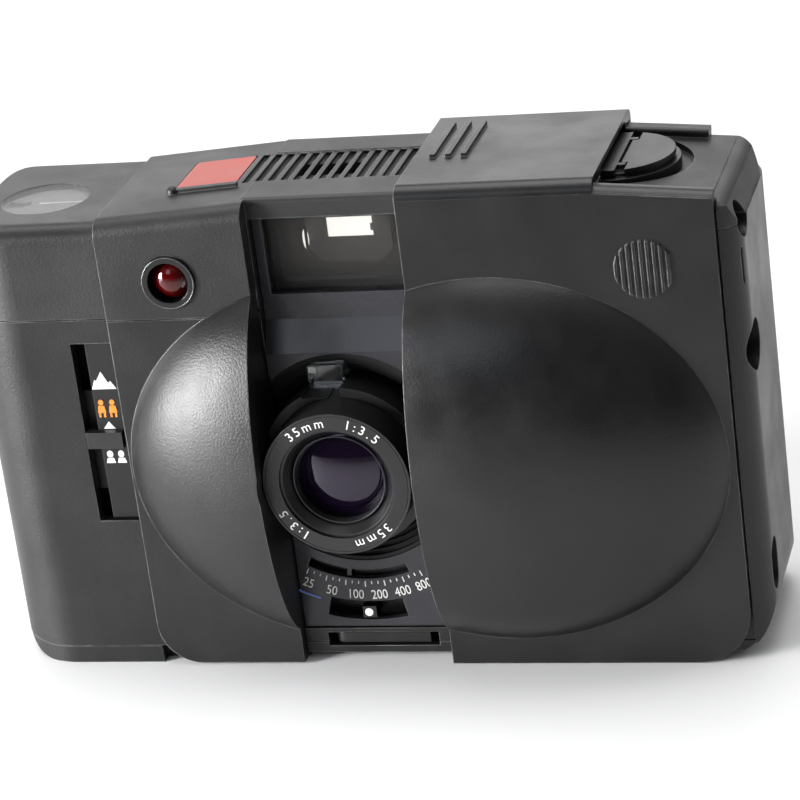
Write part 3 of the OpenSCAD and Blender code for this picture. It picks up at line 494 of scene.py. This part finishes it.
# ---------------------------------------------------------------- frame counter
def dial_numbers():
    """Every fourth frame number around the dial, 40 frames to a turn."""
    frames, radius = 40, 3.9
    shape = bmesh.new()
    for number in range(0, frames, 4):
        angle = math.radians(number * 360 / frames)
        spot = ((COUNTER_X + radius * math.sin(angle)) * MM,
                (COUNTER_Y + radius * math.cos(angle)) * MM, 58.73 * MM)
        matrix = Matrix.Translation(spot) @ Matrix.Rotation(-angle, 4, "Z")
        add_text(shape, str(number), size=1.25, matrix=matrix, thickness=0.04)
    place(shape, "dial_numbers", DARK, slot="dark_plastic", body="counter")


def counter_mask():
    """Disc over the dial with a notch cut in from its left side."""
    notch_x = -44  # rim points further left fall in the notch's reach
    rim = [(x, y) for x, y in ellipse(COUNTER_X, COUNTER_Y, 5.6, 5.6, count=64)
           if not (x < notch_x and -2.75 < y < -0.85)]
    after = next(i for i, (x, y) in enumerate(rim) if x < notch_x and y < -2.7)
    notch_end = [(-42.3, -0.95), (-42.3, -2.65)]
    flat_plate("counter_mask", rim[:after] + notch_end + rim[after:], 59.7, 59.98,
               INK_GREY, slot="dark_plastic")


dial_numbers()
flat_plate("counter_index", [(-41.0, -2.05), (-34.9, -1.75), (-34.9, -1.45), (-41.0, -1.55)],
           60.0, 60.06, INK_WHITE_AND_PAINTED_GLINT)
counter_mask()

# ---------------------------------------------------------------- finder, lamp and lens seat
# (x, z) outlines; the glowing panel, a painted reflection in the finder window, has a notch in
# its right edge.
PAINTED_REFLECTION_PANEL = [(-1.5, 56.3), (4.3, 56.3), (4.3, 56.9), (4.0, 56.9),
                (4.0, 57.9), (4.3, 57.9), (4.3, 58.8), (-1.5, 58.8)]
OCTAGON = [(-4.6, 57.9), (-3.6, 59.6), (5.6, 59.6), (6.6, 57.9),
           (6.6, 54.6), (4.9, 52.9), (-2.9, 52.9), (-4.6, 54.6)]
SENSOR_PAINTED_GLINT = [(-5.15, 40.0), (-4.2, 39.85), (-4.1, 40.65), (-5.1, 40.75)]
FINDER_PAINTED_SHADE_SHEET = [(-8.5, 50.2), (7.5, 50.2), (7.5, 59.9), (-8.5, 59.9)]


def lens_edge_strips():
    """Strips inside the octagon's sides, all but the three upper ones: a painted highlight on
    the lens's lower edge.
    """
    center_x, center_z, shrink = 1.0, 56.3, 0.93

    def inset(point):
        x, z = point
        return center_x + (x - center_x) * shrink, center_z + (z - center_z) * shrink

    sides = [(OCTAGON[i], OCTAGON[(i + 1) % 8]) for i in range(3, 8)]
    return [[start, end, inset(end), inset(start)] for start, end in sides]


# Painted reflection: a glowing white panel behind the finder window.
upright_plates("finder_painted_reflection", [PAINTED_REFLECTION_PANEL], -7.0, -6.93, FINDER_PAINTED_GLOW)
turned_ring("lamp_reflector", LAMP_X, LAMP_Z,
            [(3.40, -14.40), (2.72, -13.35), (2.66, -13.35), (2.66, -13.6), (3.32, -14.40)],
            LAMP_RIM, slot="steel")
turned_ring("front_element_seat", LENS_X, LENS_Z,
            [(5.95, -18.6), (5.75, -17.95), (5.5, -17.85), (5.5, -17.95), (5.8, -18.6)],
            LENS_BLACK, slot="aluminium", body="cell")
upright_plates("finder_front_lens", [OCTAGON], -6.9, -6.5, CLEAR, slot="glass")
# Painted highlight: a glowing ellipse standing in for a glint in the finder window.
upright_plates("finder_painted_glint", [ellipse(-4.5, 56.1, 0.40, 1.35, count=24)], -7.0, -6.95,
               FINDER_PAINTED_GLOW)
# Painted highlight along the lower edge of the finder lens.
upright_plates("finder_lens_edge_highlight", lens_edge_strips(), -7.02, -6.96, FINDER_EDGE_HIGHLIGHT,
               slot="dark_plastic")
# Painted highlight: a white patch standing in for a glint on the sensor window.
upright_plates("sensor_painted_glint", [SENSOR_PAINTED_GLINT], -11.86, -11.81, INK_WHITE_AND_PAINTED_GLINT)
# Painted shade: a near-black sheet behind the finder lens darkens the inside of the finder.
upright_plates("finder_painted_shade", [FINDER_PAINTED_SHADE_SHEET], -3.5, -3.3, PAINTED_SHADE_BLACK, slot="dark_plastic")


# ---------------------------------------------------------------- stage (metres from here on)
def floor_material():
    """Off-white, with painted shade darkening it towards the front."""
    material, tree, bsdf = new_material("floor_white")
    mottle = mix(tree, remap(tree, noise(tree, scale=6), to_min=0, to_max=1),
                 (0.84, 0.84, 0.845, 1), (0.86, 0.86, 0.865, 1))
    position = node(tree, "ShaderNodeSeparateXYZ", {0: object_coords(tree)})
    # Painted shade: the floor darkens towards the front.
    painted_front_shade = remap(tree, position.outputs["Y"], to_min=0.22, to_max=1.0,
                    from_min=-0.30, from_max=-0.07)
    feed(tree, bsdf, {"Base Color": mix(tree, 1.0, mottle, painted_front_shade, blend_type="MULTIPLY"),
                      "Roughness": 0.55})
    return material


def build_floor():
    """Floor that curves up into a back wall."""
    material = floor_material()
    front, bend_start, bend_radius, wall_top, half_width = -2.0, 1.2, 0.6, 2.6, 3.0
    bend_steps = 12
    profile = [(front, 0.0), (bend_start, 0.0)]  # (y, z)
    for i in range(1, bend_steps + 1):
        angle = math.pi / 2 * i / bend_steps
        profile.append((bend_start + bend_radius * math.sin(angle),
                        bend_radius - bend_radius * math.cos(angle)))
    profile.append((bend_start + bend_radius, wall_top))

    shape = bmesh.new()
    rows = [[shape.verts.new((x, y, z)) for x in (-half_width, half_width)]
            for y, z in profile]
    for low, high in zip(rows, rows[1:]):
        shape.faces.new((low[0], low[1], high[1], high[0]))
    mesh = bpy.data.meshes.new("floor")
    shape.to_mesh(mesh)
    shape.free()
    for polygon in mesh.polygons:
        polygon.use_smooth = True
    floor = bpy.data.objects.new("floor", mesh)
    SCENE.collection.objects.link(floor)
    mesh.materials.append(material)


def build_world():
    """Grey surroundings, brighter towards the back and overhead."""
    world = bpy.data.worlds.new("world")
    SCENE.world = world
    world.use_nodes = True
    tree = world.node_tree
    direction = node(tree, "ShaderNodeSeparateXYZ", {
        0: node(tree, "ShaderNodeTexCoord").outputs["Generated"]}).outputs
    back = remap(tree, direction["Y"], to_min=0.04, to_max=0.74, from_min=-0.70,
                 from_max=0.45, interpolation_type="SMOOTHSTEP")
    overhead = remap(tree, direction["Z"], to_min=0.0, to_max=0.36, from_min=0.35,
                     from_max=1.0, interpolation_type="SMOOTHSTEP")
    total = node(tree, "ShaderNodeMath", {0: back, 1: overhead}, operation="ADD")
    feed(tree, tree.nodes["Background"], {"Color": total.outputs[0], "Strength": 1.0})


def area_light(name, location, target, size, energy, size_y=None, color=(1, 1, 1)):
    light = bpy.data.lights.new(name, "AREA")
    light.energy = energy
    light.color = color
    light.size = size
    if size_y:
        light.shape = "RECTANGLE"
        light.size_y = size_y
    lamp = bpy.data.objects.new(name, light)
    SCENE.collection.objects.link(lamp)
    lamp.location = location
    lamp.rotation_mode = "QUATERNION"
    lamp.rotation_quaternion = (Vector(target) - Vector(location)).to_track_quat("-Z", "Y")


def build_camera():
    data = bpy.data.cameras.new("cam")
    data.sensor_width = 36
    data.lens = 148.17
    data.clip_start = 0.02
    data.clip_end = 20
    camera = bpy.data.objects.new("cam", data)
    SCENE.collection.objects.link(camera)
    right = Vector((0.96564, 0.22905, -0.12277))
    down = Vector((-0.02373, -0.39274, -0.91934))
    forward = Vector((-0.25879, 0.89067, -0.37381))
    pose = Matrix((right, -down, -forward)).transposed().to_4x4()
    pose.translation = Vector((0.11269, -0.37821, 0.18974))
    camera.matrix_world = pose
    SCENE.camera = camera


build_floor()
build_world()
area_light("side_box", (-0.57, -0.345, 0.11), target=(-0.02, -0.02, 0.035),
           size=0.24, size_y=0.30, energy=13.0)
area_light("top_box", (-0.05, 0.10, 0.75), target=(0, 0, 0.03), size=0.55, energy=3.1)
area_light("back_box", (-0.30, 1.02, 0.48), target=(0, 0, 0.05),
           size=0.95, size_y=0.55, energy=2.7)
area_light("front_sky", (-0.26, -0.78, 0.50), target=(0, 0, 0.04), size=0.30, energy=0.6,
           color=(0.86, 0.92, 1.0))
build_camera()
SCENE.view_settings.view_transform = "Standard"
